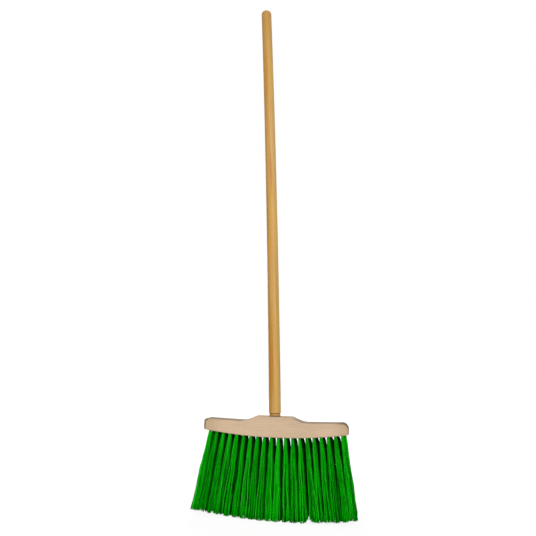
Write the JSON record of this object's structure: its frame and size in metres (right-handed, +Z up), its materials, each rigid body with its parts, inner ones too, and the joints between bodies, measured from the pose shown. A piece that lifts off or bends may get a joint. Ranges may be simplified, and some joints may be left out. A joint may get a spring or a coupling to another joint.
{
  "type": "floor broom",
  "caption": "Household floor broom: arched wooden head block with a raised boss, drilled and filled with flared green bristle tufts, and a round wooden handle pegged in the boss.",
  "frame": {"origin": "on the floor under the middle of the head: the centre of the bottom of the broom's bounding box, where it stands on its bristle tips", "axes": "+Z up, along the upright broom; +X along the head, to the right seen from the front; -Y out of the head's front face"},
  "size_m": [0.325, 0.0761, 1.182],
  "materials": {
    "block_wood": "bare sanded hardwood, pale pinkish beige with a faint lengthwise grain",
    "handle_wood": "thin clear varnish over golden wood with darker orange-brown streaks along its length",
    "bristles": "bright green extruded plastic filament with a soft sheen",
    "nail": "plain drawn steel"
  },
  "bodies": {
    "root": {"head_block": "block_wood", "handle": "handle_wood", "handle_nail": "nail", "tuft_column_01": "bristles", "tuft_column_02": "bristles", "tuft_column_03": "bristles", "tuft_column_04": "bristles", "tuft_column_05": "bristles", "tuft_column_06": "bristles", "tuft_column_07": "bristles", "tuft_column_08": "bristles", "tuft_column_09": "bristles", "tuft_column_10": "bristles", "tuft_column_11": "bristles", "tuft_column_12": "bristles", "tuft_column_13": "bristles", "tuft_column_14": "bristles", "tuft_column_15": "bristles", "tuft_column_16": "bristles", "tuft_column_17": "bristles", "tuft_column_18": "bristles", "tuft_column_19": "bristles", "tuft_column_20": "bristles"}
  },
  "joints": []
}
